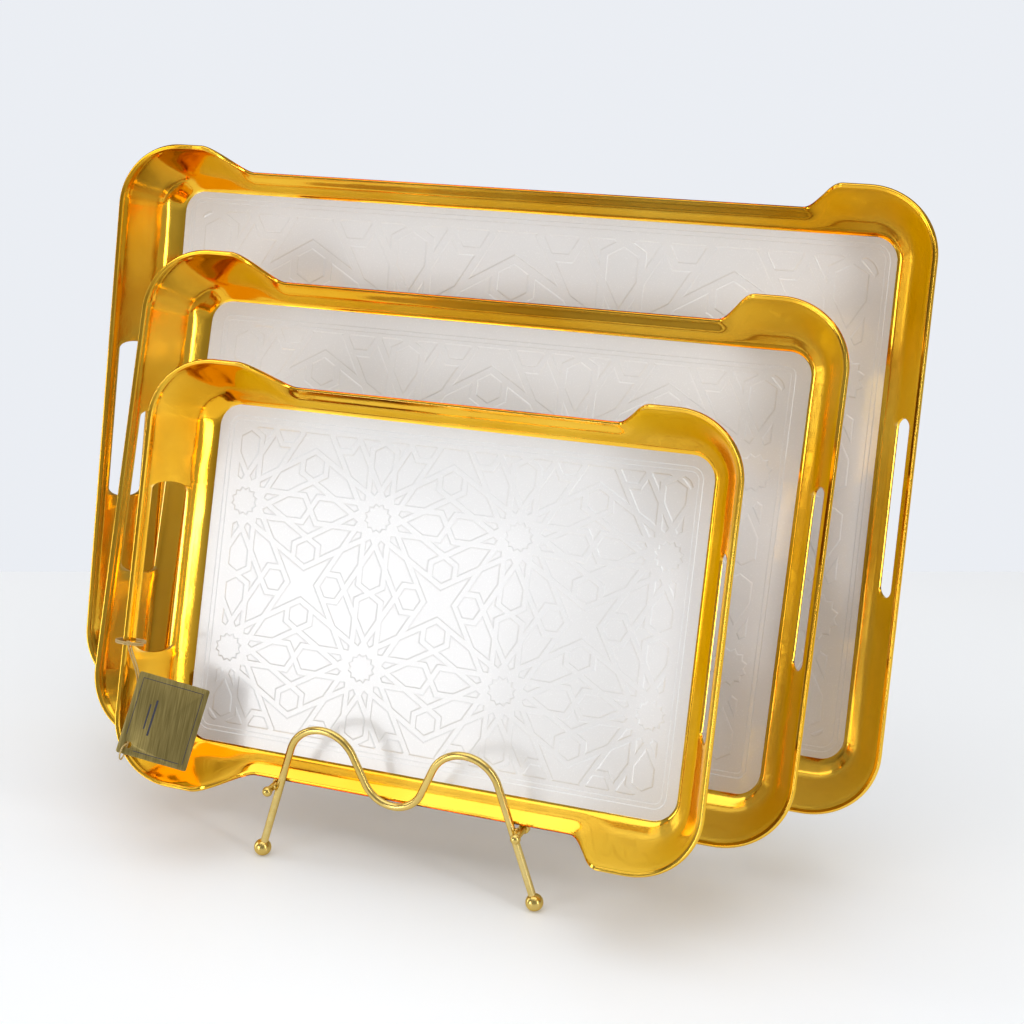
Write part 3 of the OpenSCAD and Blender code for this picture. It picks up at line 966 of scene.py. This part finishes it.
def make_card(material):
    """The foil card: rounded corners and a punched hole near one corner."""
    bm = bmesh.new()
    rounded_face(bm, *CARD_SIZE, CARD_CORNER, 0, 6)
    bmesh.ops.delete(bm, geom=bm.faces[:], context="FACES_ONLY")
    hole = bmesh.ops.create_circle(bm, segments=40, radius=HOLE_R)
    corner = Vector((HOLE_IN - CARD_SIZE[0] / 2, HOLE_IN - CARD_SIZE[1] / 2, 0))
    bmesh.ops.translate(bm, vec=corner, verts=hole["verts"])
    bmesh.ops.triangle_fill(bm, use_beauty=True, use_dissolve=False, edges=bm.edges[:])
    bmesh.ops.translate(bm, vec=(0, 0, -CARD_T / 2), verts=bm.verts)
    lifted = bmesh.ops.extrude_face_region(bm, geom=bm.faces[:], use_keep_orig=True)
    verts = [g for g in lifted["geom"] if isinstance(g, bmesh.types.BMVert)]
    bmesh.ops.translate(bm, vec=(0, 0, CARD_T), verts=verts)
    bmesh.ops.recalc_face_normals(bm, faces=bm.faces)
    edges = [e for e in bm.edges if len(e.link_faces) == 2 and e.calc_face_angle(0) > 1]
    bmesh.ops.bevel(bm, geom=edges, affect="EDGES", offset=0.12 * MM, segments=2, profile=0.5,
                    material=-1)
    bmesh.ops.transform(bm, matrix=tag_place(), verts=bm.verts)
    card = finish_piece("tag_foil_card", bm, "tag", material)
    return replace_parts(card, "tag_card")


def make_card_print(material):
    """A plain printed frame and two short bars on the card's face."""
    bm = bmesh.new()
    thin = 0.03 * MM
    face = CARD_T / 2 + thin / 2
    half_x, half_y = CARD_SIZE[0] / 2 - PRINT_IN, CARD_SIZE[1] / 2 - PRINT_IN
    by_hole = 8 * MM
    frame_lines = [(0, half_y, 2 * half_x, PRINT_LINE),
                   (half_x, 0, PRINT_LINE, 2 * half_y),
                   (2 * MM, -half_y, 2 * half_x - by_hole, PRINT_LINE),
                   (-half_x, 4 * MM, PRINT_LINE, 2 * half_y - by_hole)]
    bars = [(-6 * MM, 0, 1.1 * MM, 20 * MM), (-9 * MM, 0, 0.8 * MM, 14 * MM)]
    for x, y, wide, high in frame_lines + bars:
        made = bmesh.ops.create_cube(bm, size=1)
        place = Matrix.Translation((x, y, face)) @ Matrix.Diagonal((wide, high, thin, 1))
        bmesh.ops.transform(bm, matrix=place, verts=made["verts"])
    bmesh.ops.transform(bm, matrix=tag_place(), verts=bm.verts)
    return finish_piece("tag_print", bm, "tag", material)


def make_string(material, printing):
    place = PLACE["small"]
    route = [place @ p for p in smooth_line([Vector(p) * MM for p in STRING_ROUTE], 5)]
    string = curve_piece("tag_cord", [route], STRING_D / 2, "tag", material, sides=3)
    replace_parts(string, "tag_string")


def make_loop_and_knot(material):
    """Two turns of string round the handle's outer bar, and the knot that ties them."""
    place = PLACE["small"]
    low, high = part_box("tag_loop")
    centre = place.inverted() @ ((low + high) / 2)
    turns = []
    for j in range(2 * LOOP_STEPS + 1):
        a = math.tau * j / LOOP_STEPS
        turns.append(centre + Vector((LOOP_R * math.cos(a), (a / math.tau - 1) * LOOP_PITCH,
                                      LOOP_R * math.sin(a))))
    loop = curve_piece("tag_loop_turns", [[place @ p for p in turns]], STRING_D / 2, "small_tray",
                       material, sides=3)
    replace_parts(loop, "tag_loop")
    knot_line = []
    for j in range(KNOT_STEPS):
        a = math.tau * j / KNOT_STEPS
        trefoil = Vector((math.sin(a) + 2 * math.sin(2 * a), math.cos(a) - 2 * math.cos(2 * a),
                          -math.sin(3 * a)))
        knot_line.append(KNOT_AT + trefoil * KNOT_SIZE)
    knot = curve_piece("tag_knot_tied", [[place @ p for p in knot_line]], STRING_D / 2, "small_tray",
                       material, closed=True, sides=3)
    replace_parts(knot, "tag_knot")


# ---------------------------------------------------------------- the scene
make_camera()
make_world()
make_floor()
make_lights()
bpy.context.scene.view_settings.view_transform = "Standard"

rim_gold = gold_rim()
wire_gold = gold_wire()
pearl = pearl_panel()
thread = gold_string()
foil_card = make_card(gold_card())
make_string(thread, make_card_print(dark_print()))
make_loop_and_knot(thread)
for tray in TRAYS:
    make_rim(tray, rim_gold)
    make_panel(tray, pearl)
make_wires(wire_gold)
make_back_rests(wire_gold)
make_rods(wire_gold)
make_feet(wire_gold)
make_welds(wire_gold)
